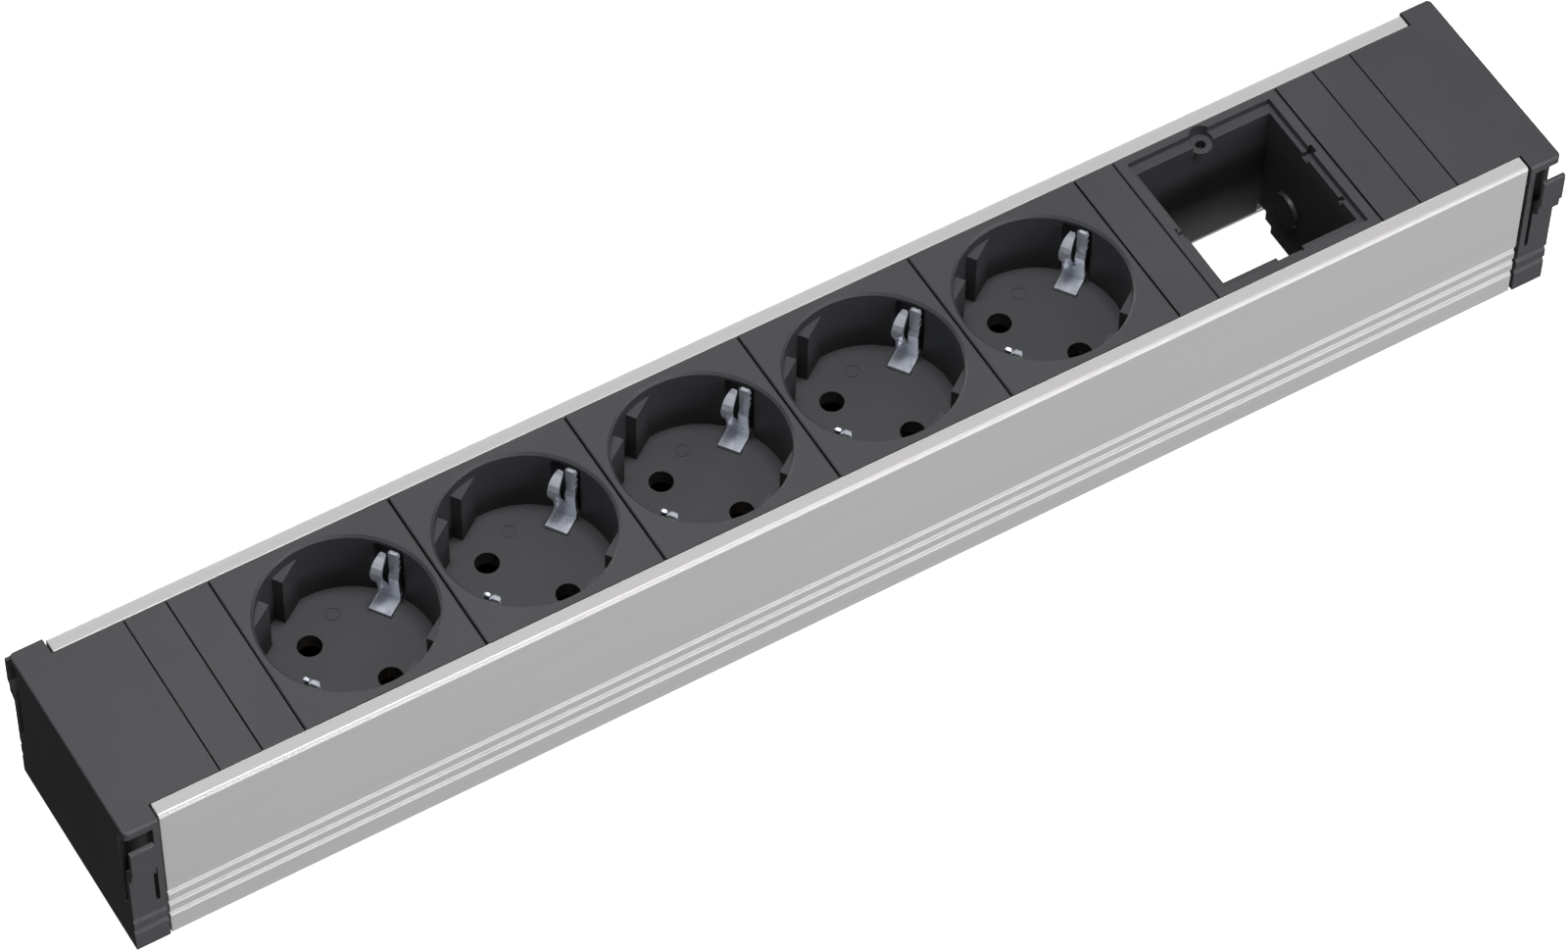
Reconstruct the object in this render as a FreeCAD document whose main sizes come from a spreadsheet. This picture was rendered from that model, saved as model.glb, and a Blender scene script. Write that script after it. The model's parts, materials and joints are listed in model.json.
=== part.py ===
import FreeCAD, Part
import Sketcher
import math
import os

# Built-in multi-socket unit: two extruded side rails carry a row of clip-in
# modules between two end caps.
# Frame: X along the unit, Y across it (front is -Y), +Z up.  The origin is the
# centre of the underside.  Millimetres.

V3 = FreeCAD.Vector
doc = FreeCAD.newDocument("multi_socket_unit")
sheet = doc.addObject("Spreadsheet::Sheet", "dims")

TABLE = [
    # whole unit
    ("height", 43.6, "overall height, underside to top face"),
    ("half_width", 25.4, "centre plane to the outer face of a side rail"),
    ("strip_pitch", 9.8, "room that one blank strip takes along the unit"),
    ("socket_pitch", 42.5, "room that one socket module takes along the unit"),
    ("tongue_len", 16.0, "end cap tongue, inside the rails"),
    ("strip_gap", 0.3, "gap between a blank strip and its neighbour"),
    ("module_gap", 0.4, "gap between two modules"),
    # side rail section
    ("rail_wall", 1.8, "rail wall thickness"),
    ("rail_lip", 3.8, "width of the lip over the modules"),
    ("lip_thick", 1.6, "lip thickness"),
    ("lip_round", 0.9, "rounding of the outer top edge"),
    ("foot_round", 0.4, "rounding of the outer bottom edge"),
    ("rib_reach", 3.2, "outer face to the edge of the inner ribs"),
    ("rib_thick", 1.2, "inner rib thickness"),
    ("groove_top", 42.0, "upper end of the module groove"),
    ("groove_low", 39.4, "lower end of the module groove"),
    ("guide_top", 12.6, "upper end of the lower guide groove"),
    ("guide_low", 10.0, "lower end of the lower guide groove"),
    ("foot_reach", 4.0, "width of the rail's bottom flange"),
    ("foot_thick", 1.4, "thickness of the rail's bottom flange"),
    ("line_one", 15.05, "height of the first decorative groove"),
    ("line_two", 11.05, "height of the second decorative groove"),
    ("line_three", 7.05, "height of the third decorative groove"),
    ("line_half", 0.85, "half the width of a decorative groove"),
    ("line_deep", 0.55, "depth of a decorative groove"),
    # shared by everything that clips between the rails
    ("face_half", 21.5, "centre plane to the edge of a module's visible face"),
    ("wing_half", 23.4, "centre plane to the edge of a module's side wing"),
    ("wing_top", 41.8, "upper face of the side wings"),
    ("wing_low", 39.6, "lower face of the side wings"),
    ("skin_low", 41.3, "underside of a strip between its two wings"),
    ("wing_root", 20.6, "inner edge of the side wings"),
    ("edge_bevel", 0.25, "bevel on a module's cross edges"),
    # socket module
    ("socket_angle", 35.0, "angle of the earth clips' axis to the unit"),
    ("pin_pitch", 19.0, "distance between the two pin holes"),
    ("pin_hole", 2.75, "pin hole radius"),
    ("collar_rad", 4.2, "outer radius of the pin hole collar"),
    ("collar_len", 2.0, "collar length under the floor"),
    ("recess_rad", 19.4, "radius of the plug recess"),
    ("recess_deep", 18.0, "depth of the plug recess"),
    ("lip_bevel", 0.6, "bevel round the recess mouth"),
    ("cup_rad", 20.9, "outer radius of the recess cup"),
    ("floor_thick", 2.0, "thickness of the recess floor"),
    ("flange_x", 20.8, "half length of the floor flange"),
    ("flange_y", 19.5, "half width of the floor flange"),
    ("flat_at", 16.72, "centre to the flat of the plug guide"),
    ("flat_gap", 3.05, "half the gap between the two parts of a guide"),
    ("flat_drop", 3.25, "top face to the top of the plug guides"),
    ("clip_room", 3.5, "half width of the pocket behind an earth clip"),
    ("clip_back", 21.4, "centre to the back of that pocket"),
    ("clip_drop", 1.4, "top face to the top of that pocket"),
    ("pocket_wall", 1.0, "wall round the clip pocket"),
    ("slot_in", 13.35, "centre to the near side of the clip slot"),
    ("slot_out", 14.5, "centre to the far side of the clip slot"),
    ("slot_play", 0.15, "room beside the bracket in the clip slot"),
    ("mark_x", 2.5, "moulding mark, along the unit from the socket centre"),
    ("mark_y", 12.5, "moulding mark, across the unit from the socket centre"),
    ("mark_out", 1.7, "outer radius of the moulding mark"),
    ("mark_in", 1.35, "inner radius of the moulding mark"),
    ("mark_deep", 0.2, "depth of the moulding mark"),
    ("post_x", 14.2, "screw post, along the unit from the socket centre"),
    ("post_y", 14.5, "screw post, across the unit from the socket centre"),
    ("post_rad", 2.8, "screw post radius"),
    ("post_end", 7.0, "height at which the screw posts end"),
    ("pilot_rad", 1.25, "pilot hole radius"),
    ("pilot_deep", 12.5, "pilot hole depth"),
    # socket base
    ("base_x", 20.7, "half length of the base tray"),
    ("base_y", 19.3, "half width of the base tray"),
    ("base_wall", 1.4, "wall of the base tray"),
    ("base_low", 3.4, "height of the base tray's underside"),
    ("base_floor", 4.9, "height of the base tray's inner floor"),
    ("base_top", 23.5, "height of the base tray's rim"),
    ("ear_half", 8.0, "half length of the guide ears"),
    ("ear_tip", 23.3, "centre plane to the tip of the guide ears"),
    ("ear_low", 10.3, "underside of the guide ears"),
    ("ear_top", 12.3, "top of the guide ears"),
    ("seat_rad", 3.6, "radius of the screw seat in the base"),
    ("seat_top", 6.9, "height of the screw seat"),
    ("sink_rad", 3.0, "radius of the screw head's recess"),
    ("sink_top", 5.4, "height of the recess end"),
    ("screw_way", 1.65, "radius of the screw's way through the base"),
    ("cradle_in", 4.4, "inner cradle rib, far side"),
    ("cradle_out", 11.2, "outer cradle rib, near side"),
    ("cradle_wall", 1.0, "cradle rib thickness"),
    ("cradle_half", 10.0, "half length of the cradle ribs"),
    ("cradle_top", 5.9, "height of the cradle ribs"),
    ("bar_way", 6.6, "top of the busbar windows"),
    ("rail_way", 3.4, "half width of the earth rail windows"),
    ("rail_way_low", 21.0, "bottom of the earth rail windows"),
    # conductors
    ("bar_low", 5.0, "underside of a busbar"),
    ("bar_thick", 0.8, "busbar thickness"),
    ("bar_half", 3.0, "half width of a busbar"),
    ("tail_half", 2.0, "half width of a busbar's terminal tail"),
    ("blade_half", 2.5, "half width of a contact blade"),
    ("blade_foot", 2.3, "half gap between the blades at the busbar"),
    ("blade_neck", 1.95, "half gap between the blades at their neck"),
    ("blade_mouth", 2.7, "half gap between the blades at their mouth"),
    ("blade_thick", 0.7, "blade thickness"),
    ("blade_bend", 8.6, "height at which the blades lean in"),
    ("neck_at", 12.8, "height of the neck"),
    ("mouth_at", 15.6, "height of the mouth"),
    ("earth_top", 22.7, "top of the earth rail"),
    ("earth_half", 2.5, "half width of the earth rail"),
    # earth bracket
    ("clip_left", 2.4, "bracket's axis to its edge on the sprung fingers' side"),
    ("clip_right", 2.8, "bracket's axis to its edge on the toothed fingers' side"),
    ("clip_thick", 0.8, "sheet thickness of the earth bracket"),
    ("clip_out", 18.8, "centre to the outer face of the riser"),
    ("clip_rise", 13.5, "centre to the inner face of the leg through the floor"),
    ("lean_at", 27.9, "height at which the riser starts to lean"),
    ("fork_at", 30.9, "height at which the clip forks"),
    ("fork_hole", 0.45, "radius of the round end of the fork's slit"),
    ("clip_bulge", 14.8, "centre to the innermost point of the sprung finger"),
    ("bulge_low", 36.3, "lower end of the bulge"),
    ("bulge_top", 37.6, "upper end of the bulge"),
    ("finger_top", 42.2, "top of the sprung finger"),
    ("comb_low", 35.0, "lower end of the toothed finger"),
    ("comb_in", 18.0, "centre to the inner face of the toothed finger"),
    ("comb_top", 43.0, "top of the toothed finger"),
    ("tooth_tip", 2.95, "bracket's axis to the tips of the teeth"),
    ("tooth_root", 2.6, "bracket's axis to the roots of the teeth"),
    ("tooth_pitch", 2.1, "distance from one tooth to the next"),
    # end cap
    ("cap_half", 25.9, "centre plane to the side of an end cap"),
    ("cap_len", 8.4, "end cap length beyond the rails"),
    ("cap_gap", 0.5, "gap between the rails' end and the cap"),
    ("cap_plate", 2.4, "thickness of the cap's top plate"),
    ("cap_wall", 2.0, "cap wall thickness"),
    ("cap_corner", 1.2, "rounding of the plate's corners"),
    ("cap_soft", 0.5, "rounding of the plate's upper edge"),
    ("cap_low", 0.6, "height of the cap's underside"),
    ("cap_root", 15.4, "height where the snap arms start"),
    ("cap_inner", 22.7, "centre plane to the edge of the end wall"),
    ("post_len", 1.9, "rail end to the far side of the guard post"),
    ("arm_start", 2.8, "rail end to the near side of a snap arm"),
    ("arm_thick", 1.3, "snap arm thickness"),
    ("hook_out", 2.4, "how far the hook stands out"),
    ("hook_thick", 1.0, "hook plate thickness"),
    ("hook_top", 39.3, "top of the hook"),
    ("hook_low", 31.3, "lower end of the hook's outer face"),
    ("hook_step", 0.7, "step below the hook's outer face"),
    ("ramp_low", 26.6, "where the ramp meets the arm"),
    ("prong_len", 14.0, "prong length inside a rail"),
    ("prong_in", 21.6, "inner face of a prong"),
    ("prong_low", 14.2, "underside of a prong"),
    ("prong_top", 37.8, "top of a prong"),
    ("nub_half", 0.7, "half height of the stop nubs"),
    ("nub_upper", 37.9, "height of the upper stop nub"),
    ("nub_lower", 16.6, "height of the lower stop nub"),
    # empty module frame
    ("well_x", 17.3, "half length of the opening"),
    ("well_y", 17.3, "half width of the opening"),
    ("well_wall", 1.6, "wall of the frame's shaft"),
    ("well_low", 7.3, "height of the shaft's lower edge"),
    ("skirt_low", 5.0, "height of the right wall's lower edge"),
    ("skirt_end", 12.1, "centre to the rear end of that deeper part"),
    ("corner_at", 14.5, "centre to the relief at the rear right corner"),
    ("corner_low", 10.0, "height of the wall's edge above the relief"),
    ("ledge_x", 18.5, "half length of the insert's recess"),
    ("ledge_y", 19.6, "half width of the insert's recess"),
    ("ledge_deep", 1.8, "depth of the insert's recess"),
    ("boss_y", 18.4, "centre to the insert's screw hole"),
    ("boss_rad", 2.7, "radius of the screw boss"),
    ("boss_deep", 3.2, "top face to the top of the screw boss"),
    ("boss_len", 3.0, "length of the screw boss"),
    ("pad_y", 18.9, "centre to the front screw hole"),
    ("pad_left", 3.65, "screw hole to the left end of the notch round it"),
    ("pad_right", 2.95, "screw hole to the right end of that notch"),
    ("boss_hole", 1.2, "radius of the insert's screw hole"),
    ("blank_rad", 4.4, "radius of the cable knock-out"),
    ("blank_out", 1.0, "how far the knock-out stands proud"),
    ("blank_y", 7.0, "knock-out centre, across the unit"),
    ("blank_z", 18.9, "knock-out centre, height"),
    # terminal block
    ("term_end", -150.5, "end of the terminal block nearest the cap"),
    ("term_len", 18.4, "terminal block length"),
    ("tail_len", 14.5, "cap end of the terminal block to the end of the narrow tails"),
    ("term_half", 12.4, "half width of the terminal block"),
    ("term_low", 2.4, "height of its underside"),
    ("term_top", 20.0, "height of its top"),
    ("term_room", 3.15, "half width of a chamber"),
    ("term_floor", 3.95, "height of the chamber floor"),
    ("term_roof", 14.6, "height of the chamber roof"),
    ("term_face", 2.0, "thickness of the wire entry wall"),
    ("wire_rad", 2.2, "radius of a wire entry"),
    ("wire_at", 8.6, "height of the wire entries"),
    ("well_rad", 2.6, "radius of a screw well"),
    ("cage_half", 2.9, "half width of a cage clamp"),
    ("cage_room", 2.1, "half width of its window"),
    ("cage_len", 6.0, "length of a cage clamp"),
    ("cage_low", 4.0, "height of a cage clamp's underside"),
    ("cage_sill", 4.95, "bottom of its window"),
    ("cage_head", 11.8, "top of its window"),
    ("cage_top", 13.4, "height of its top"),
    ("term_bolt", 1.45, "radius of a terminal screw"),
]
for row, (alias, value, note) in enumerate(TABLE, start=1):
    sheet.set("A%d" % row, note)
    sheet.set("B%d" % row, str(value))
    sheet.setAlias("B%d" % row, alias)
doc.recompute()


class Size:
    """A length that keeps its value and the expression that it comes from."""

    def __init__(self, value, text):
        self.value = float(value)
        self.text = text

    @staticmethod
    def of(other):
        if isinstance(other, Size):
            return other
        return Size(other, repr(float(other)))

    def __add__(self, other):
        other = Size.of(other)
        return Size(self.value + other.value, "(%s + %s)" % (self.text, other.text))

    def __radd__(self, other):
        return Size.of(other) + self

    def __sub__(self, other):
        other = Size.of(other)
        return Size(self.value - other.value, "(%s - %s)" % (self.text, other.text))

    def __rsub__(self, other):
        return Size.of(other) - self

    def __mul__(self, other):
        other = Size.of(other)
        return Size(self.value * other.value, "(%s * %s)" % (self.text, other.text))

    def __rmul__(self, other):
        return Size.of(other) * self

    def __truediv__(self, other):
        other = Size.of(other)
        return Size(self.value / other.value, "(%s / %s)" % (self.text, other.text))

    def __neg__(self):
        return Size(-self.value, "(-1 * %s)" % self.text)


class Dims:
    pass


d = Dims()
for alias, value, note in TABLE:
    setattr(d, alias, Size(value, "dims." + alias))


def cosine(angle):
    return Size(math.cos(math.radians(angle.value)), "cos(%s * 1 deg)" % angle.text)


def sine(angle):
    return Size(math.sin(math.radians(angle.value)), "sin(%s * 1 deg)" % angle.text)


def bind(obj, path, length):
    if "dims." in length.text:
        obj.setExpression(path, length.text)


def new_body(name, x=0.0, turn=None):
    body = doc.addObject("PartDesign::Body", name)
    body.Label = name
    x = Size.of(x)
    angle = turn.value if isinstance(turn, Size) else (turn or 0.0)
    body.Placement = FreeCAD.Placement(V3(x.value, 0, 0), FreeCAD.Rotation(V3(0, 0, 1), angle))
    bind(body, "Placement.Base.x", x)
    if isinstance(turn, Size):
        bind(body, "Placement.Rotation.Angle", turn)
    return body


def origin_plane(body, role):
    for item in body.Origin.OriginFeatures:
        if item.Role == role:
            return item
    raise RuntimeError("no origin feature " + role)


def new_sketch(body, role, level, turn=None):
    sketch = body.newObject("Sketcher::SketchObject", body.Name + "_sketch")
    sketch.AttachmentSupport = [(origin_plane(body, role), "")]
    sketch.MapMode = "FlatFace"
    level = Size.of(level)
    angle = turn.value if turn is not None else 0.0
    sketch.AttachmentOffset = FreeCAD.Placement(
        V3(0, 0, level.value), FreeCAD.Rotation(V3(0, 0, 1), angle))
    bind(sketch, "AttachmentOffset.Base.z", level)
    if turn is not None:
        bind(sketch, "AttachmentOffset.Rotation.Angle", turn)
    sketch.Visibility = False
    return sketch


def place_point(sketch, geo, pos, a, b):
    i = sketch.addConstraint(Sketcher.Constraint("DistanceX", -1, 1, geo, pos, a.value))
    bind(sketch, "Constraints[%d]" % i, a)
    i = sketch.addConstraint(Sketcher.Constraint("DistanceY", -1, 1, geo, pos, b.value))
    bind(sketch, "Constraints[%d]" % i, b)


def draw_outline(sketch, points):
    points = [(Size.of(a), Size.of(b)) for a, b in points]
    count = len(points)
    first = sketch.GeometryCount
    for i in range(count):
        a, b = points[i]
        c, e = points[(i + 1) % count]
        sketch.addGeometry(Part.LineSegment(V3(a.value, b.value, 0), V3(c.value, e.value, 0)), False)
    for i in range(count):
        sketch.addConstraint(Sketcher.Constraint(
            "Coincident", first + i, 2, first + (i + 1) % count, 1))
    for i in range(count):
        place_point(sketch, first + i, 1, points[i][0], points[i][1])


def draw_circle(sketch, a, b, radius):
    a, b, radius = Size.of(a), Size.of(b), Size.of(radius)
    geo = sketch.addGeometry(Part.Circle(V3(a.value, b.value, 0), V3(0, 0, 1), radius.value), False)
    place_point(sketch, geo, 3, a, b)
    i = sketch.addConstraint(Sketcher.Constraint("Radius", geo, radius.value))
    bind(sketch, "Constraints[%d]" % i, radius)


def draw(sketch, shapes):
    for shape in shapes:
        if shape[0] == "circle":
            draw_circle(sketch, *shape[1:])
        else:
            draw_outline(sketch, shape[1])


def box_outline(a0, b0, a1, b1):
    return ("outline", [(a0, b0), (a1, b0), (a1, b1), (a0, b1)])


pockets = []


def prism(body, role, shapes, low, high, turn=None):
    """Material between two levels along the plane's row axis."""
    low, high = Size.of(low), Size.of(high)
    level = -high if role == "XZ_Plane" else low
    sketch = new_sketch(body, role, level, turn)
    draw(sketch, shapes)
    pad = body.newObject("PartDesign::Pad", body.Name + "_pad")
    pad.Profile = sketch
    pad.Length = high.value - low.value
    bind(pad, "Length", high - low)
    body.Tip = pad
    return pad


def cut(body, role, shapes, low, high, turn=None):
    """A cut between two levels along the plane's row axis."""
    low, high = Size.of(low), Size.of(high)
    level = -low if role == "XZ_Plane" else high
    sketch = new_sketch(body, role, level, turn)
    draw(sketch, shapes)
    pocket = body.newObject("PartDesign::Pocket", body.Name + "_pocket")
    pocket.Profile = sketch
    pocket.Length = high.value - low.value
    bind(pocket, "Length", high - low)
    body.Tip = pocket
    pockets.append(pocket)
    return pocket


def edge_names(shape, test):
    return ["Edge%d" % (i + 1) for i, edge in enumerate(shape.Edges) if test(edge)]


def dress(body, kind, size, test):
    """Fillet or chamfer the edges of the body's last feature that pass a test."""
    doc.recompute()
    base = body.Tip
    names = edge_names(base.Shape, test)
    if not names:
        raise RuntimeError("no edges found on " + body.Label)
    item = body.newObject("PartDesign::" + kind, body.Name + "_" + kind.lower())
    item.Base = (base, names)
    field = "Radius" if kind == "Fillet" else "Size"
    setattr(item, field, size.value)
    bind(item, field, size)
    body.Tip = item
    return item


def ends(edge):
    return [v.Point for v in edge.Vertexes]


def near(a, b, tol=0.02):
    return abs(a - b) < tol


def line_along_x(edge, y, z):
    pts = ends(edge)
    return (len(pts) == 2 and edge.Curve.TypeId == "Part::GeomLine"
            and all(near(p.y, y) and near(p.z, z) for p in pts))


def line_along_y(edge, x, z):
    pts = ends(edge)
    return (len(pts) == 2 and edge.Curve.TypeId == "Part::GeomLine"
            and all(near(p.x, x) and near(p.z, z) for p in pts))


parts = []

# Positions along the unit, from the left end of the rails.
rail_len = d.tongue_len * 2 + d.strip_pitch * 5 + d.socket_pitch * 6
rail_left = -(rail_len / 2)
rail_right = rail_len / 2
row_start = rail_left + d.tongue_len
strip_at = [row_start + d.strip_pitch * 0.5, row_start + d.strip_pitch * 1.5]
socket_at = [row_start + d.strip_pitch * 2 + d.socket_pitch * (i + 0.5) for i in range(5)]
after_sockets = row_start + d.strip_pitch * 2 + d.socket_pitch * 5
strip_at.append(after_sockets + d.strip_pitch * 0.5)
frame_at = after_sockets + d.strip_pitch + d.socket_pitch * 0.5
strip_at.append(after_sockets + d.strip_pitch * 1.5 + d.socket_pitch)
strip_at.append(after_sockets + d.strip_pitch * 2.5 + d.socket_pitch)


# ---- side rails: one open section each, the rear one facing the front one ----
def side_rail(name, side):
    body = new_body(name)
    wall = d.half_width - d.rail_wall
    rib = d.half_width - d.rib_reach

    def groove(height):
        return [(d.half_width, height + d.line_half), (d.half_width - d.line_deep, height),
                (d.half_width, height - d.line_half)]

    points = [(d.half_width, 0.0), (d.half_width - d.foot_reach, 0.0),
              (d.half_width - d.foot_reach, d.foot_thick), (wall, d.foot_thick),
              (wall, d.guide_low - d.rib_thick), (rib, d.guide_low - d.rib_thick),
              (rib, d.guide_low), (wall, d.guide_low),
              (wall, d.guide_top), (rib, d.guide_top),
              (rib, d.guide_top + d.rib_thick), (wall, d.guide_top + d.rib_thick),
              (wall, d.groove_low - d.rib_thick), (rib, d.groove_low - d.rib_thick),
              (rib, d.groove_low), (wall, d.groove_low),
              (wall, d.groove_top), (d.half_width - d.rail_lip, d.groove_top),
              (d.half_width - d.rail_lip, d.height), (d.half_width, d.height)]
    points += groove(d.line_one) + groove(d.line_two) + groove(d.line_three)
    prism(body, "YZ_Plane", [("outline", [(Size.of(a) * side, b) for a, b in points])],
          rail_left, rail_right)
    dress(body, "Fillet", d.lip_round,
          lambda e: line_along_x(e, side * d.half_width.value, d.height.value))
    dress(body, "Fillet", d.foot_round,
          lambda e: line_along_x(e, side * d.half_width.value, 0.0))
    parts.append(body)


side_rail("side_rail_front", -1)
side_rail("side_rail_rear", 1)


def clip_section(hollow):
    """Section of a part that slides in the rails' grooves: face, wings, underside."""
    pts = [(-d.wing_half, d.wing_low)]
    if hollow:
        pts += [(-d.wing_root, d.wing_low), (-d.wing_root, d.skin_low),
                (d.wing_root, d.skin_low), (d.wing_root, d.wing_low)]
    pts += [(d.wing_half, d.wing_low), (d.wing_half, d.wing_top), (d.face_half, d.wing_top),
            (d.face_half, d.height), (-d.face_half, d.height), (-d.face_half, d.wing_top),
            (-d.wing_half, d.wing_top)]
    return [("outline", pts)]


# ---- blank strips ----
for index, x in enumerate(strip_at, start=1):
    body = new_body("blank_strip_%d" % index, x)
    half = (d.strip_pitch - d.strip_gap) / 2
    prism(body, "YZ_Plane", clip_section(True), -half, half)
    parts.append(body)


# ---- end caps: the right one is drawn, the left one is the same turned round ----
def on_plate_rim(pts):
    """The plate's upper outer edges: both sides, the end and the round corners."""
    if not all(near(p.z, d.height.value) for p in pts):
        return False
    side = all(near(abs(p.y), d.cap_half.value) for p in pts)
    end = all(near(p.x, d.cap_len.value) for p in pts)
    corner = (all(p.x > (d.cap_len - d.cap_corner).value - 0.02 for p in pts)
              and all(abs(p.y) > (d.cap_half - d.cap_corner).value - 0.02 for p in pts))
    return side or end or corner


def end_cap(name, x, turn):
    body = new_body(name, x, turn)
    # tongue between the rails, then the plate over the rails' ends
    prism(body, "YZ_Plane", clip_section(True), -d.tongue_len + d.strip_gap / 2, d.cap_gap)
    prism(body, "XY_Plane", [box_outline(d.cap_gap, -d.cap_half, d.cap_len, d.cap_half)],
          d.height - d.cap_plate, d.height)
    dress(body, "Fillet", d.cap_corner,
          lambda e: abs(ends(e)[0].z - ends(e)[-1].z) > 1.0
          and all(near(p.x, d.cap_len.value) and near(abs(p.y), d.cap_half.value)
                  for p in ends(e)))
    dress(body, "Fillet", d.cap_soft, lambda e: on_plate_rim(ends(e)))
    # end wall, narrow where the snap arms stand and full width below them
    grooved = []
    for height in (d.line_two, d.line_three):
        grooved += [(d.cap_half, height + d.line_half), (d.cap_half - d.line_deep, height),
                    (d.cap_half, height - d.line_half)]
    prism(body, "YZ_Plane", [("outline", [
        (-d.cap_inner, d.height - d.cap_plate), (-d.cap_inner, d.cap_root),
        (-d.cap_half, d.cap_root)] + [(-a, b) for a, b in grooved] + [
        (-d.cap_half, d.cap_low), (d.cap_half, d.cap_low)] + grooved[::-1] + [
        (d.cap_half, d.cap_root), (d.cap_inner, d.cap_root),
        (d.cap_inner, d.height - d.cap_plate)])],
          d.cap_len - d.cap_wall, d.cap_len)
    # floor of the cap
    prism(body, "XY_Plane", [box_outline(d.cap_gap, -d.cap_half, d.cap_len, d.cap_half)],
          d.cap_low, d.cap_low + d.cap_wall)
    for side in (-1, 1):
        outer = d.cap_half * side
        # lower side wall with the two decorative grooves carried on from the rail

        def groove(height):
            return [(outer, height + d.line_half), ((d.cap_half - d.line_deep) * side, height),
                    (outer, height - d.line_half)]

        prism(body, "YZ_Plane", [("outline", [
            ((d.cap_half - d.cap_wall) * side, d.cap_low),
            ((d.cap_half - d.cap_wall) * side, d.cap_root), (outer, d.cap_root)]
            + groove(d.line_two) + groove(d.line_three) + [(outer, d.cap_low)])],
              d.cap_gap, d.cap_len)
        # prong inside the rail, carried back to the end wall
        prism(body, "XY_Plane", [box_outline(
            -d.prong_len, d.prong_in * side, d.cap_len - d.cap_wall, d.wing_half * side)],
              d.prong_low, d.prong_top)
        # the prong's wall is closed up to the plate outside the rail
        prism(body, "XY_Plane", [box_outline(
            d.cap_gap, d.prong_in * side, d.cap_len - d.cap_wall, d.wing_half * side)],
              d.cap_low + d.cap_wall, d.height - d.cap_plate)
        # guard post beside the rail end
        prism(body, "XY_Plane", [box_outline(
            d.cap_gap, d.cap_inner * side, d.post_len, outer)],
              d.cap_root, d.height - d.cap_plate)
        # stop nubs that touch the rail's cut end
        for level in (d.nub_upper, d.nub_lower):
            prism(body, "XY_Plane", [box_outline(
                0.05, (d.half_width - d.rail_wall) * side, d.cap_gap, (d.half_width - 0.3) * side)],
                  level - d.nub_half, level + d.nub_half)
        # snap arm: rises from the lower wall, ramps out and ends in a thin hook
        inner = d.cap_half - d.arm_thick
        hook = d.cap_half + d.hook_out
        arm = [(d.cap_half, d.cap_root), (d.cap_half, d.ramp_low),
               (hook - d.hook_step, d.hook_low - d.hook_step * 4.5),
               (hook - d.hook_step, d.hook_low - d.hook_step),
               (hook, d.hook_low), (hook, d.hook_top - 0.3), (hook - 0.3, d.hook_top),
               (hook - d.hook_thick, d.hook_top),
               (hook - d.hook_thick, d.hook_low + d.hook_step),
               (inner + 0.6, d.hook_low - d.hook_step * 2),
               (inner, d.ramp_low), (inner, d.cap_root)]
        prism(body, "YZ_Plane", [("outline", [(a * side, b) for a, b in arm])],
              d.arm_start, d.cap_len)
        # root of the arm, standing on the lower side wall
        prism(body, "XY_Plane", [box_outline(
            d.arm_start, (d.cap_half - d.cap_wall) * side, d.cap_len, outer)],
              d.cap_root - 1.0, d.cap_root + 0.8)
    parts.append(body)


end_cap("end_cap_right", rail_right, None)
end_cap("end_cap_left", rail_left, 180.0)


# ---- socket modules ----
turn_clip = d.socket_angle
turn_pin = d.socket_angle - 90.0
pin_dx = d.pin_pitch / 2 * cosine(turn_pin)
pin_dy = d.pin_pitch / 2 * sine(turn_pin)
floor_top = d.height - d.recess_deep
floor_low = floor_top - d.floor_thick
half_module = (d.socket_pitch - d.module_gap) / 2


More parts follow.
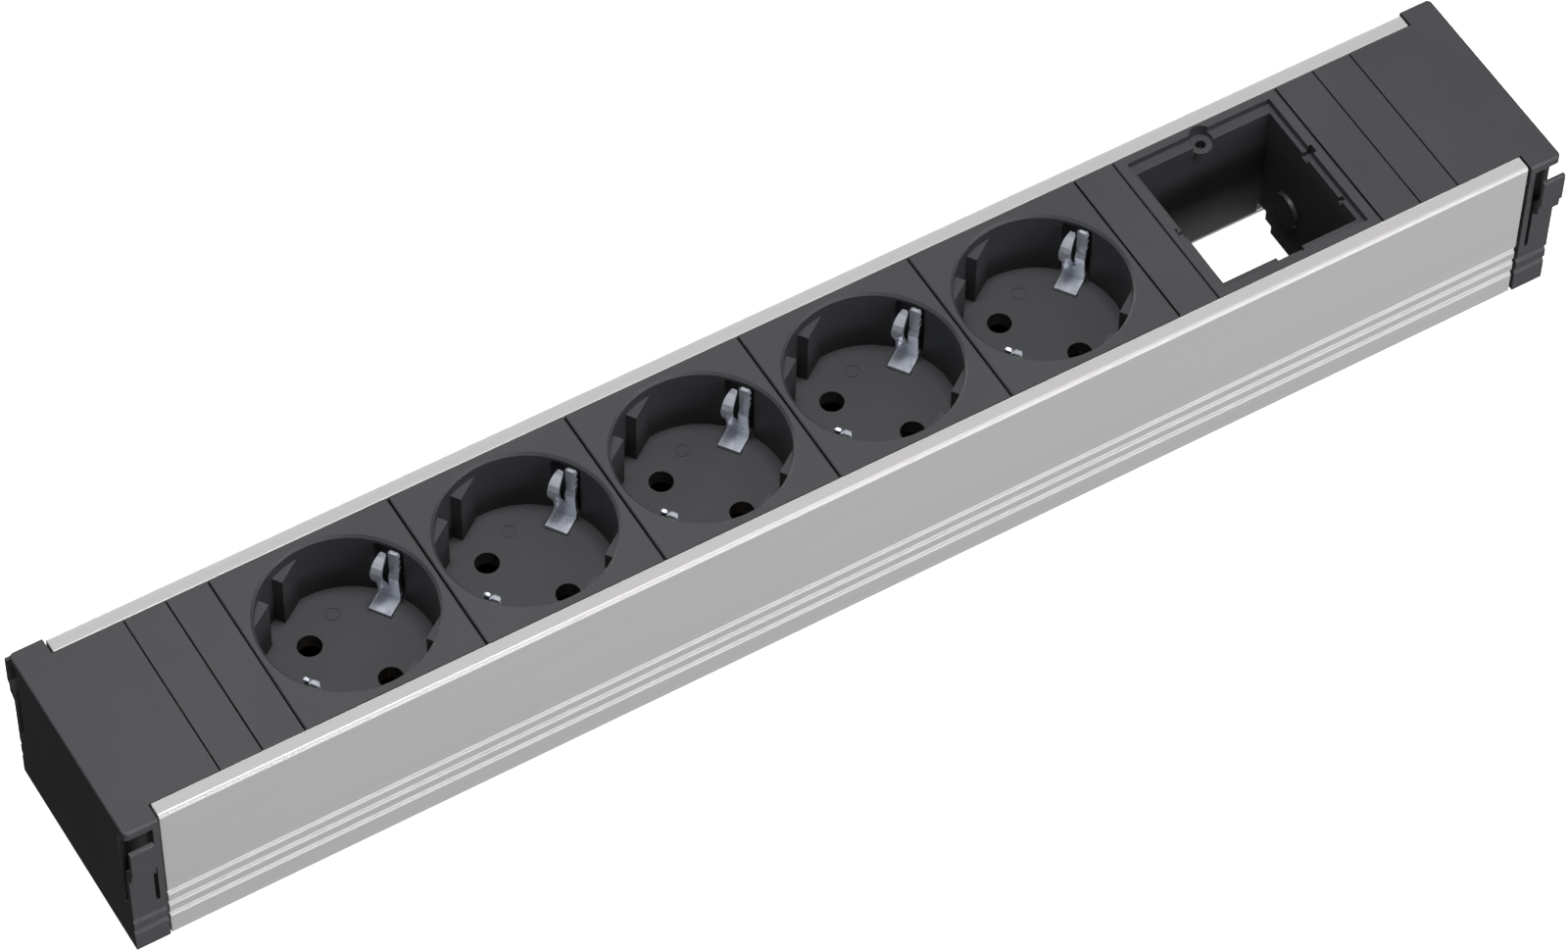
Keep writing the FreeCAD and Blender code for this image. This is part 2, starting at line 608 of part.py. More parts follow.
def socket_cover(name, x):
    body = new_body(name, x)
    prism(body, "YZ_Plane", clip_section(True), -half_module, half_module)
    dress(body, "Chamfer", d.edge_bevel,
          lambda e: line_along_y(e, half_module.value, d.height.value)
          or line_along_y(e, -half_module.value, d.height.value))
    prism(body, "XY_Plane", [("circle", 0.0, 0.0, d.cup_rad)], floor_low, d.height)
    prism(body, "XY_Plane", [box_outline(-d.flange_x, -d.flange_y, d.flange_x, d.flange_y)],
          floor_low, floor_top)
    # outer housing of the two clip pockets
    for side in (-1, 1):
        prism(body, "XY_Plane", [box_outline(
            17.5 * side, -(d.clip_room + d.pocket_wall),
            (d.clip_back + d.pocket_wall) * side, d.clip_room + d.pocket_wall)],
              floor_low, d.height - 2.0, turn_clip)
    cut(body, "XY_Plane", [("circle", 0.0, 0.0, d.recess_rad)], floor_top, d.height)
    dress(body, "Chamfer", d.lip_bevel,
          lambda e: e.Curve.TypeId == "Part::GeomCircle" and near(e.Curve.Radius, d.recess_rad.value)
          and near(e.Curve.Center.z, d.height.value))
    # plug guides: flat-sided blocks at both ends of the pin axis
    blocks = []
    for su in (-1, 1):
        for sv in (-1, 1):
            pts = [(d.flat_at, d.flat_gap), (d.cup_rad - 0.8, d.flat_gap),
                   (d.cup_rad - 1.2, 5.4), (d.cup_rad - 2.5, 8.6), (d.flat_at, 10.6)]
            blocks.append(("outline", [(Size.of(a) * su, Size.of(b) * sv) for a, b in pts]))
    prism(body, "XY_Plane", blocks, floor_top, d.height - d.flat_drop, turn_pin)
    # clip pockets in the wall, and the slots that the clips rise through
    rooms = []
    slots = []
    for side in (-1, 1):
        rooms.append(box_outline(17.0 * side, -d.clip_room, d.clip_back * side, d.clip_room))
        slots.append(box_outline(d.slot_in * side, -(d.clip_right + d.slot_play),
                                 d.slot_out * side, d.clip_left + d.slot_play))
    cut(body, "XY_Plane", rooms, floor_top, d.height - d.clip_drop, turn_clip)
    cut(body, "XY_Plane", slots, floor_low, floor_top, turn_clip)
    # collars and pin holes
    prism(body, "XY_Plane", [("circle", pin_dx, pin_dy, d.collar_rad),
                             ("circle", -pin_dx, -pin_dy, d.collar_rad)],
          floor_low - d.collar_len, floor_low)
    cut(body, "XY_Plane", [("circle", pin_dx, pin_dy, d.pin_hole),
                           ("circle", -pin_dx, -pin_dy, d.pin_hole)],
        floor_low - d.collar_len, floor_top)
    # moulding mark on the floor
    cut(body, "XY_Plane", [("circle", d.mark_x, d.mark_y, d.mark_out),
                           ("circle", d.mark_x, d.mark_y, d.mark_in)],
        floor_top - d.mark_deep, floor_top)
    # screw posts for the base
    prism(body, "XY_Plane", [("circle", d.post_x, -d.post_y, d.post_rad),
                             ("circle", -d.post_x, d.post_y, d.post_rad)],
          d.post_end, floor_low)
    cut(body, "XY_Plane", [("circle", d.post_x, -d.post_y, d.pilot_rad),
                           ("circle", -d.post_x, d.post_y, d.pilot_rad)],
        d.post_end, d.post_end + d.pilot_deep)
    parts.append(body)


def socket_base(name, x):
    body = new_body(name, x)
    prism(body, "XY_Plane", [box_outline(-d.base_x, -d.base_y, d.base_x, d.base_y)],
          d.base_low, d.base_top)
    cut(body, "XY_Plane", [box_outline(
        -(d.base_x - d.base_wall), -(d.base_y - d.base_wall),
        d.base_x - d.base_wall, d.base_y - d.base_wall)], d.base_floor, d.base_top)
    # guide ears that run in the rails' lower grooves
    for side in (-1, 1):
        prism(body, "XY_Plane", [box_outline(
            -d.ear_half, (d.base_y - 0.7) * side, d.ear_half, d.ear_tip * side)],
              d.ear_low, d.ear_top)
    # cradle ribs beside the busbars
    ribs = []
    for side in (-1, 1):
        ribs.append(box_outline(-d.cradle_half, (d.cradle_in - d.cradle_wall) * side,
                                d.cradle_half, d.cradle_in * side))
        ribs.append(box_outline(-d.cradle_half, d.cradle_out * side,
                                d.cradle_half, (d.cradle_out + d.cradle_wall) * side))
    prism(body, "XY_Plane", ribs, d.base_floor - 0.3, d.cradle_top)
    # screw seats, head recesses and through holes
    prism(body, "XY_Plane", [("circle", d.post_x, -d.post_y, d.seat_rad),
                             ("circle", -d.post_x, d.post_y, d.seat_rad)],
          d.base_floor - 0.3, d.seat_top)
    cut(body, "XY_Plane", [("circle", d.post_x, -d.post_y, d.sink_rad),
                           ("circle", -d.post_x, d.post_y, d.sink_rad)],
        d.base_low, d.sink_top)
    cut(body, "XY_Plane", [("circle", d.post_x, -d.post_y, d.screw_way),
                           ("circle", -d.post_x, d.post_y, d.screw_way)],
        d.sink_top, d.seat_top)
    # windows for the busbars and the earth rail
    cut(body, "YZ_Plane", [
        box_outline(d.cradle_in, d.base_floor, d.cradle_out, d.bar_way),
        box_outline(-d.cradle_out, d.base_floor, -d.cradle_in, d.bar_way),
        box_outline(-d.rail_way, d.rail_way_low, d.rail_way, d.base_top)],
        -d.base_x, d.base_x)
    parts.append(body)


def earth_bracket(name, x):
    """One bent strip: under the floor, up through it, and a forked clip at each end.
    In each clip a sprung finger bulges into the recess beside a straight finger with a toothed edge."""
    body = new_body(name, x, turn_clip)
    under = floor_low - 0.1
    foot = floor_top + 0.05
    out = d.clip_out
    inner = d.clip_out - d.clip_thick
    leg = [(d.clip_rise, under), (d.clip_rise, foot + d.clip_thick), (inner, foot + d.clip_thick),
           (inner, d.lean_at + 0.3), (out, d.lean_at + 0.3), (out, foot),
           (d.clip_rise + d.clip_thick, foot), (d.clip_rise + d.clip_thick, under - d.clip_thick)]
    prism(body, "XZ_Plane", [("outline", leg + [(-Size.of(a), b) for a, b in reversed(leg)])],
          -d.clip_right, d.clip_left)
    sprung = [(inner, d.lean_at), (inner, d.lean_at + 0.3), (out - 1.5, d.fork_at),
              (out - 2.7, d.fork_at + 2.0), (d.clip_bulge + 0.4, d.bulge_low - 1.6),
              (d.clip_bulge, d.bulge_low), (d.clip_bulge, d.bulge_top),
              (d.clip_bulge + 0.5, d.bulge_top + 1.4), (d.clip_bulge + 1.3, d.bulge_top + 2.7),
              (d.clip_bulge + 2.0, d.finger_top - 0.8), (d.clip_bulge + 2.4, d.finger_top),
              (d.clip_bulge + 3.0, d.finger_top - 0.25), (d.clip_bulge + 2.6, d.finger_top - 1.15),
              (d.clip_bulge + 1.9, d.bulge_top + 2.35), (d.clip_bulge + 1.15, d.bulge_top + 1.1),
              (d.clip_bulge + 0.7, d.bulge_top - 0.15), (d.clip_bulge + 0.7, d.bulge_low + 0.1),
              (d.clip_bulge + 1.1, d.bulge_low - 1.35), (out - 2.05, d.fork_at + 2.35),
              (out - 0.8, d.fork_at + 0.3), (out, d.lean_at + 0.7), (out, d.lean_at)]
    toothed = [(inner, d.lean_at), (inner - 0.2, d.comb_low - 2.9), (inner - 0.4, d.comb_low - 1.2),
               (d.comb_in + 0.3, d.comb_low), (d.comb_in + 0.2, d.comb_low + 1.4),
               (d.comb_in + 0.05, d.comb_low + 4.4), (d.comb_in, d.comb_top - 1.5),
               (d.comb_in - 0.1, d.comb_top - 0.6), (d.comb_in - 0.5, d.comb_top),
               (d.comb_in - 0.05, d.comb_top + 0.35), (d.comb_in + 0.55, d.comb_top - 0.2),
               (d.comb_in + 0.75, d.comb_top - 1.5), (d.comb_in + 0.8, d.comb_low + 4.4),
               (d.comb_in + 0.95, d.comb_low + 1.5), (d.comb_in + 1.1, d.comb_low - 0.2),
               (out - 0.4, d.comb_low - 1.6), (out - 0.2, d.comb_low - 3.0), (out, d.lean_at)]
    root = [(inner, d.lean_at), (inner - 0.1, d.fork_at - 0.4), (out - 0.1, d.fork_at - 0.4),
            (out, d.lean_at)]
    for side in (-1, 1):
        for pts, low, high in ((sprung, Size.of(-0.25), d.clip_left),
                               (toothed, -d.tooth_tip, Size.of(-0.4)),
                               (root, Size.of(-0.5), Size.of(-0.1))):
            prism(body, "XZ_Plane", [("outline", [(Size.of(a) * side, b) for a, b in pts])],
                  low, high)
    # the edges of the fingers, seen along the bracket
    first = d.comb_low + 2.3
    edge = [(-(d.clip_right + 0.6), d.lean_at + 0.3), (-d.clip_right, d.lean_at + 0.3),
            (-(d.tooth_root + 0.1), d.comb_low - 1.0)]
    for k in range(3):
        at = first + d.tooth_pitch * k
        edge += [(-d.tooth_root, at - d.tooth_pitch / 2), (-d.tooth_tip, at)]
    edge += [(-(d.tooth_root + 0.15), d.comb_top - 0.5), (-(d.tooth_root - 0.2), d.comb_top),
             (-(d.tooth_root - 0.2), d.height), (-(d.clip_right + 0.6), d.height)]
    tip = [(d.clip_left + 0.6, d.bulge_low + 0.4), (d.clip_left, d.bulge_low + 0.8),
           (d.clip_left - 0.1, d.bulge_top), (d.clip_left - 0.2, d.bulge_top + 1.4),
           (d.clip_left - 0.45, d.bulge_top + 2.7), (d.clip_left - 0.9, d.finger_top - 0.8),
           (d.clip_left - 1.4, d.finger_top), (d.clip_left - 1.4, d.height),
           (d.clip_left + 0.6, d.height)]
    corner = [(-0.33, d.comb_top - 0.9), (-0.33, d.height), (-1.2, d.height), (-1.1, d.comb_top),
              (-0.7, d.comb_top - 0.5)]
    nib = [(-0.3, d.finger_top - 0.9), (0.1, d.finger_top), (0.1, d.height - 0.6),
           (-0.3, d.height - 0.6)]
    cut(body, "YZ_Plane", [("outline", edge), ("outline", tip), ("outline", corner),
                           ("outline", nib), ("circle", -0.3, d.fork_at, d.fork_hole)],
        -20.0, 20.0)
    parts.append(body)


for index, x in enumerate(socket_at, start=1):
    socket_cover("socket_cover_%d" % index, x)
for index, x in enumerate(socket_at, start=1):
    socket_base("socket_base_%d" % index, x)
for index, x in enumerate(socket_at, start=1):
    earth_bracket("earth_bracket_%d" % index, x)


# ---- busbars: a flat strip with a pair of contact blades under each pin hole ----
def busbar(name, side):
    """side -1 is the front bar, +1 the rear one; drawn about the first socket."""
    body = new_body(name, socket_at[0])
    shift = pin_dx * (-side)
    middle = -pin_dy * side
    far = socket_at[4] - socket_at[0] + shift + d.blade_half + 1.0
    left = d.term_end + d.term_face + 0.2 - socket_at[0]
    waist = d.term_end + d.tail_len - socket_at[0]
    prism(body, "XY_Plane", [("outline", [
        (left, middle - d.tail_half), (waist, middle - d.tail_half), (waist, middle - d.bar_half),
        (far, middle - d.bar_half), (far, middle + d.bar_half), (waist, middle + d.bar_half),
        (waist, middle + d.tail_half), (left, middle + d.tail_half)])],
          d.bar_low, d.bar_low + d.bar_thick)
    blades = []
    for lean in (-1, 1):
        pts = [(d.blade_foot, d.bar_low + 0.2), (d.blade_foot, d.blade_bend),
               (d.blade_neck, d.neck_at), (d.blade_mouth, d.mouth_at),
               (d.blade_mouth + d.blade_thick, d.mouth_at - 0.2),
               (d.blade_neck + d.blade_thick, d.neck_at),
               (d.blade_foot + d.blade_thick, d.blade_bend),
               (d.blade_foot + d.blade_thick, d.bar_low + 0.2)]
        blades.append(("outline", [(middle + a * lean, b) for a, b in pts]))
    pad = prism(body, "YZ_Plane", blades, shift - d.blade_half, shift + d.blade_half)
    row = body.newObject("PartDesign::LinearPattern", name + "_row")
    row.Originals = [pad]
    row.Direction = (origin_plane(body, "X_Axis"), [""])
    row.Length = d.socket_pitch.value * 4
    bind(row, "Length", d.socket_pitch * 4)
    row.Occurrences = 5
    body.Tip = row
    parts.append(body)


busbar("live_busbar", -1)
busbar("neutral_busbar", 1)

# earth rail: runs under the brackets and steps down to the terminal block
body = new_body("earth_rail")
step_x = socket_at[0] - d.base_x - 1.6
tail_x = d.term_end + d.term_face + 0.2
prism(body, "XZ_Plane", [("outline", [
    (tail_x, d.bar_low), (step_x, d.bar_low), (step_x, d.earth_top - d.bar_thick),
    (socket_at[4] + 4.0, d.earth_top - d.bar_thick), (socket_at[4] + 4.0, d.earth_top),
    (step_x - d.bar_thick, d.earth_top), (step_x - d.bar_thick, d.bar_low + d.bar_thick),
    (tail_x, d.bar_low + d.bar_thick)])],
      -d.earth_half, d.earth_half)
cut(body, "XY_Plane", [
    box_outline(d.term_end, d.tail_half, d.term_end + d.tail_len, d.earth_half + 1.0),
    box_outline(d.term_end, -(d.earth_half + 1.0), d.term_end + d.tail_len, -d.tail_half)],
    d.bar_low - 1.0, d.bar_low + 2.0)
parts.append(body)

# ---- supply terminal block beneath the left blank strips ----
lanes = [pin_dy, Size.of(0.0), -pin_dy]
body = new_body("terminal_block")
term_right = d.term_end + d.term_len
prism(body, "XY_Plane", [box_outline(d.term_end, -d.term_half, term_right, d.term_half)],
      d.term_low, d.term_top)
for side in (-1, 1):
    prism(body, "XY_Plane", [box_outline(
        d.term_end + 1.5, (d.term_half - 0.7) * side, term_right - 1.5, d.ear_tip * side)],
          d.ear_low, d.ear_top)
cut(body, "YZ_Plane", [box_outline(lane - d.term_room, d.term_floor, lane + d.term_room, d.term_roof)
                       for lane in lanes], d.term_end + d.term_face, term_right)
cut(body, "YZ_Plane", [("circle", lane, d.wire_at, d.wire_rad) for lane in lanes],
    d.term_end, d.term_end + d.term_face)
cage_x = d.term_end + d.term_face + 1.4
cut(body, "XY_Plane", [("circle", cage_x + d.cage_len / 2, lane, d.well_rad) for lane in lanes],
    d.term_roof, d.term_top)
# the earth rail's way up and out of the block
cut(body, "XY_Plane", [box_outline(d.term_end + d.tail_len, -d.term_room, term_right, d.term_room)],
    d.term_roof, d.term_top)
parts.append(body)

for name, lane in zip(("terminal_clamp_live", "terminal_clamp_earth", "terminal_clamp_neutral"), lanes):
    body = new_body(name)
    prism(body, "XY_Plane", [box_outline(cage_x, lane - d.cage_half, cage_x + d.cage_len,
                                         lane + d.cage_half)], d.cage_low, d.cage_top)
    cut(body, "YZ_Plane", [box_outline(lane - d.cage_room, d.cage_sill, lane + d.cage_room,
                                       d.cage_head)], cage_x, cage_x + d.cage_len)
    cut(body, "XY_Plane", [("circle", cage_x + d.cage_len / 2, lane, d.term_bolt + 0.05)],
        d.cage_head, d.cage_top)
    parts.append(body)

body = new_body("terminal_screws")
body.AllowCompound = True
spots = [(cage_x + d.cage_len / 2, lane) for lane in lanes]
prism(body, "XY_Plane", [("circle", a, b, d.term_bolt) for a, b in spots], 8.4, 15.6)
prism(body, "XY_Plane", [("circle", a, b, d.well_rad - 0.25) for a, b in spots], 15.6, 17.8)
cut(body, "XY_Plane", [box_outline(a - 2.6, b - 0.4, a + 2.6, b + 0.4) for a, b in spots],
    16.8, 17.8)
parts.append(body)

# ---- screws that hold each socket base to its cover ----
body = new_body("module_screws", socket_at[0])
body.AllowCompound = True
spots = [(d.post_x, -d.post_y), (-d.post_x, d.post_y)]
head = prism(body, "XY_Plane", [("circle", a, b, d.sink_rad - 0.25) for a, b in spots],
             d.sink_top - 1.7, d.sink_top)
shank = prism(body, "XY_Plane", [("circle", a, b, d.pilot_rad) for a, b in spots],
              d.sink_top, d.post_end + 9.0)
cross = []
for a, b in spots:
    w, g = 1.7, 0.35
    cross.append(("outline", [(a - w, b - g), (a - g, b - g), (a - g, b - w), (a + g, b - w),
                              (a + g, b - g), (a + w, b - g), (a + w, b + g), (a + g, b + g),
                              (a + g, b + w), (a - g, b + w), (a - g, b + g), (a - w, b + g)]))
drive = cut(body, "XY_Plane", cross, d.sink_top - 1.7, d.sink_top - 0.7)
row = body.newObject("PartDesign::LinearPattern", "module_screws_row")
row.Originals = [head, shank, drive]
row.Direction = (origin_plane(body, "X_Axis"), [""])
row.Length = d.socket_pitch.value * 4
bind(row, "Length", d.socket_pitch * 4)
row.Occurrences = 5
body.Tip = row
parts.append(body)

# ---- frame for an exchangeable insert, supplied empty ----
body = new_body("insert_frame", frame_at)
prism(body, "YZ_Plane", clip_section(False), -half_module, half_module)
dress(body, "Chamfer", d.edge_bevel,
      lambda e: line_along_y(e, half_module.value, d.height.value)
      or line_along_y(e, -half_module.value, d.height.value))
shaft_x = d.well_x + d.well_wall
shaft_y = d.well_y + d.well_wall
prism(body, "XY_Plane", [box_outline(-shaft_x, -shaft_y, shaft_x, shaft_y)],
      d.well_low, d.height - 2.0)
cut(body, "XY_Plane", [box_outline(-d.ledge_x, -d.ledge_y, d.ledge_x, d.ledge_y)],
    d.height - d.ledge_deep, d.height)
cut(body, "XY_Plane", [box_outline(-d.well_x, -d.well_y, d.well_x, d.well_y)],
    d.well_low, d.height)
boss_top = d.height - d.boss_deep
# rear screw boss, round it a half-round notch in the ledge and rim
cut(body, "XY_Plane", [("circle", 0.0, d.boss_y, d.boss_rad)], boss_top, d.height)
prism(body, "XY_Plane", [("circle", 0.0, d.boss_y, d.boss_rad)], boss_top - d.boss_len, boss_top)
# front screw pad in a straight notch of the ledge
cut(body, "XY_Plane", [box_outline(-d.pad_left, -d.ledge_y, d.pad_right, -d.well_y)],
    boss_top, d.height - d.ledge_deep)
cut(body, "XY_Plane", [("circle", 0.0, d.boss_y, d.boss_hole),
                       ("circle", 0.0, -d.pad_y, d.boss_hole)],
    boss_top - d.boss_len, boss_top)
# location notches in the rim and ledge
cut(body, "XY_Plane", [box_outline(-(d.ledge_x + 0.9), -2.9, -d.well_x + 0.4, -0.8),
                       box_outline(d.well_x - 0.4, 1.9, d.ledge_x + 0.9, 4.2),
                       box_outline(d.well_x - 0.4, -11.4, d.ledge_x - 0.3, -10.2)],
    d.height - d.boss_deep, d.height)
# cable knock-out on the right wall
prism(body, "YZ_Plane", [("circle", d.blank_y, d.blank_z, d.blank_rad)],
      d.well_x - d.blank_out, d.well_x + 0.4)
# the right wall reaches lower, then steps up towards its rear corner
prism(body, "XY_Plane", [box_outline(d.well_x, -shaft_y, shaft_x, d.skirt_end)],
      d.skirt_low, d.well_low + 0.5)
cut(body, "YZ_Plane", [box_outline(d.corner_at, d.well_low, shaft_y + 0.5, d.corner_low)],
    d.well_x - 0.5, shaft_x + 0.5)
parts.append(body)

doc.recompute()

for item in doc.Objects:
    if "Invalid" in item.State or "Error" in item.State:
        raise RuntimeError("failed: %s %s" % (item.Name, item.State))
for pocket in pockets:
    before = pocket.BaseFeature.Shape.Volume
    if pocket.Shape.Volume > before - 1e-4:
        raise RuntimeError("a cut removed nothing: " + pocket.Name)
for body in parts:
    if body.Shape.isNull() or not body.Shape.isValid():
        raise RuntimeError("bad shape: " + body.Label)

os.makedirs("parts", exist_ok=True)
for body in parts:
    body.Shape.exportStep("parts/" + body.Label + ".step")
    bb = body.Shape.BoundBox
    print("%-24s solids %2d  volume %9.1f  x %.2f..%.2f  y %.2f..%.2f  z %.2f..%.2f" % (
        body.Label, len(body.Shape.Solids), body.Shape.Volume,
        bb.XMin, bb.XMax, bb.YMin, bb.YMax, bb.ZMin, bb.ZMax))
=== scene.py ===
import json
import math

import bmesh
import bpy
from mathutils import Matrix, Vector

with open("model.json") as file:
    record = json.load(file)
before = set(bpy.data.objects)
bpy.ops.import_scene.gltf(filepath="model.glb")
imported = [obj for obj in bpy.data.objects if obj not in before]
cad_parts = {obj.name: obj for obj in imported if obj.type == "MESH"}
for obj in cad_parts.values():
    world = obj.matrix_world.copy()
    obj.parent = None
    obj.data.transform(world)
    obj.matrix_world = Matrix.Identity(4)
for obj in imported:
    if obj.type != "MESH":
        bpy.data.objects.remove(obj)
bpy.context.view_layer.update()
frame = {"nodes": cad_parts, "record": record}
nodes = frame["nodes"]
scene = bpy.context.scene


# ---------------------------------------------------------------- node helpers
class Maker:
    """Builds one node material step by step."""

    def __init__(self, name):
        self.mat = bpy.data.materials.new(name)
        self.mat.use_nodes = True
        self.tree = self.mat.node_tree
        self.tree.nodes.clear()
        self.out = self.tree.nodes.new("ShaderNodeOutputMaterial")
        self.shader = self.tree.nodes.new("ShaderNodeBsdfPrincipled")
        self.tree.links.new(self.shader.outputs[0], self.out.inputs[0])
        self.coord = self.tree.nodes.new("ShaderNodeTexCoord").outputs["Object"]

    def link(self, source, target):
        self.tree.links.new(source, target)

    def set(self, **values):
        for key, value in values.items():
            self.shader.inputs[key.replace("_", " ")].default_value = value

    def mapped(self, scale=(1, 1, 1), turn=(0, 0, 0), shift=(0, 0, 0)):
        node = self.tree.nodes.new("ShaderNodeMapping")
        self.link(self.coord, node.inputs["Vector"])
        node.inputs["Scale"].default_value = scale
        node.inputs["Rotation"].default_value = turn
        node.inputs["Location"].default_value = shift
        return node.outputs[0]

    def noise(self, scale, detail=2.0, rough=0.5, vector=None, distortion=0.0):
        node = self.tree.nodes.new("ShaderNodeTexNoise")
        self.link(vector if vector is not None else self.coord, node.inputs["Vector"])
        node.inputs["Scale"].default_value = scale
        node.inputs["Detail"].default_value = detail
        node.inputs["Roughness"].default_value = rough
        node.inputs["Distortion"].default_value = distortion
        return node.outputs["Fac"]

    def cells(self, scale, vector=None):
        node = self.tree.nodes.new("ShaderNodeTexVoronoi")
        self.link(vector if vector is not None else self.coord, node.inputs["Vector"])
        node.inputs["Scale"].default_value = scale
        return node.outputs["Distance"]

    def span(self, value, low, high, from_low=0.3, from_high=0.7):
        node = self.tree.nodes.new("ShaderNodeMapRange")
        self.link(value, node.inputs["Value"])
        node.inputs["From Min"].default_value = from_low
        node.inputs["From Max"].default_value = from_high
        node.inputs["To Min"].default_value = low
        node.inputs["To Max"].default_value = high
        return node.outputs[0]

    def math(self, kind, a, b=None):
        node = self.tree.nodes.new("ShaderNodeMath")
        node.operation = kind
        for socket, value in ((node.inputs[0], a), (node.inputs[1], b)):
            if value is None:
                continue
            if isinstance(value, (int, float)):
                socket.default_value = value
            else:
                self.link(value, socket)
        return node.outputs[0]

    def blend(self, factor, low, high):
        node = self.tree.nodes.new("ShaderNodeMix")
        node.data_type = "RGBA"
        self.link(factor, node.inputs["Factor"])
        for socket, value in ((node.inputs["A"], low), (node.inputs["B"], high)):
            if isinstance(value, tuple):
                socket.default_value = (*value[:3], 1.0)
            else:
                self.link(value, socket)
        return node.outputs["Result"]

    def bump(self, height, strength, distance, below=None):
        node = self.tree.nodes.new("ShaderNodeBump")
        self.link(height, node.inputs["Height"])
        node.inputs["Strength"].default_value = strength
        node.inputs["Distance"].default_value = distance
        if below is not None:
            self.link(below, node.inputs["Normal"])
        return node.outputs[0]

    def colour(self, value):
        self.link(value, self.shader.inputs["Base Color"])

    def rough(self, value):
        self.link(value, self.shader.inputs["Roughness"])

    def normal(self, value):
        self.link(value, self.shader.inputs["Normal"])


def times(colour, k):
    return tuple(c * k for c in colour)


def moulded(name, base, rough, grain=0.00022, depth=0.000012, level=0.5):
    """Moulded plastic with a fine spark-eroded grain."""
    m = Maker(name)
    m.set(Metallic=0.0, Specular_IOR_Level=level)
    cloud = m.noise(38.0, 3.0, 0.55)
    fine = m.noise(1.0 / grain, 2.0, 0.6)
    pits = m.cells(0.8 / grain)
    tone = m.math("ADD", m.span(cloud, 0.0, 0.6), m.span(fine, 0.0, 0.4))
    m.colour(m.blend(tone, times(base, 0.88), times(base, 1.12)))
    m.rough(m.math("ADD", m.span(fine, rough - 0.05, rough + 0.05), m.span(cloud, -0.02, 0.02)))
    m.normal(m.bump(pits, 0.35, depth, m.bump(fine, 0.5, depth)))
    return m.mat


def extruded(name, base, rough):
    """Natural anodised extrusion: matt, with faint lines drawn along its length."""
    m = Maker(name)
    m.set(Metallic=0.22, Specular_IOR_Level=0.5, Coat_Weight=0.6, Coat_Roughness=0.22)
    lines = m.noise(1.0, 3.0, 0.6, m.mapped((2.0, 2600.0, 2600.0)))
    wide = m.noise(1.0, 2.0, 0.5, m.mapped((1.5, 420.0, 420.0), shift=(0.3, 0.1, 0.7)))
    frost = m.noise(6500.0, 2.0, 0.6)
    cloud = m.noise(9.0, 2.0, 0.5)
    tone = m.math("ADD", m.math("ADD", m.span(lines, 0.0, 0.35), m.span(wide, 0.0, 0.25)),
                  m.math("ADD", m.span(frost, 0.0, 0.25), m.span(cloud, 0.0, 0.15)))
    m.colour(m.blend(tone, times(base, 0.94), times(base, 1.06)))
    m.rough(m.math("ADD", m.span(lines, rough - 0.04, rough + 0.04), m.span(frost, -0.03, 0.03)))
    m.normal(m.bump(frost, 0.35, 0.000006, m.bump(lines, 0.10, 0.000002)))
    return m.mat


def plated(name, base, rough, haze=0.06, metal=1.0):
    """Plated spring sheet: bright, with faint rolling lines and a little haze."""
    m = Maker(name)
    m.set(Metallic=metal)
    rolled = m.noise(1.0, 2.0, 0.5, m.mapped((900.0, 900.0, 5200.0)))
    cloud = m.noise(420.0, 3.0, 0.6)
    tone = m.math("ADD", m.span(rolled, 0.0, 0.4), m.span(cloud, 0.0, 0.6))
    m.colour(m.blend(tone, times(base, 0.88), times(base, 1.06)))
    m.rough(m.math("ADD", m.span(cloud, rough - haze, rough + haze), m.span(rolled, -0.03, 0.03)))
    m.normal(m.bump(rolled, 0.25, 0.000006, m.bump(cloud, 0.3, 0.00002)))
    return m.mat


def punched(name, base, dull, rough):
    """Bare punched sheet or turned brass with a little tarnish in patches."""
    m = Maker(name)
    m.set(Metallic=1.0)
    drawn = m.noise(1.0, 3.0, 0.6, m.mapped((40.0, 2200.0, 2200.0)))
    patch = m.noise(150.0, 4.0, 0.6, distortion=0.4)
    m.colour(m.blend(m.span(patch, 0.0, 1.0, 0.35, 0.7), base, dull))
    m.rough(m.math("ADD", m.span(patch, rough - 0.05, rough + 0.1), m.span(drawn, -0.04, 0.04)))
    m.normal(m.bump(drawn, 0.3, 0.000006))
    return m.mat


anthracite = (0.029, 0.030, 0.0335)
materials = {
    "anodised_rail": extruded("anodised_rail", (0.440, 0.430, 0.434), 0.36),
    "cap_plastic": moulded("cap_plastic", anthracite, 0.52),
    "face_plastic": moulded("face_plastic", anthracite, 0.52),
    "socket_plastic": moulded("socket_plastic", anthracite, 0.52),
    "frame_plastic": moulded("frame_plastic", anthracite, 0.52),
    "base_plastic": moulded("base_plastic", (0.014, 0.014, 0.015), 0.40, 0.0003, 0.000008),
    "terminal_plastic": moulded("terminal_plastic", (0.42, 0.42, 0.40), 0.45, 0.0003, 0.000008),
    "nickel_clip": plated("nickel_clip", (0.63, 0.66, 0.73), 0.33, 0.06, 0.65),
    "busbar_brass": punched("busbar_brass", (0.72, 0.50, 0.20), (0.50, 0.32, 0.13), 0.30),
    "clamp_brass": punched("clamp_brass", (0.62, 0.57, 0.42), (0.48, 0.42, 0.28), 0.32),
    "zinc_screw": plated("zinc_screw", (0.58, 0.58, 0.59), 0.30, 0.08),
}
slot_of = {row["node"]: row["material_slot"] for row in frame["record"]["subparts"]}


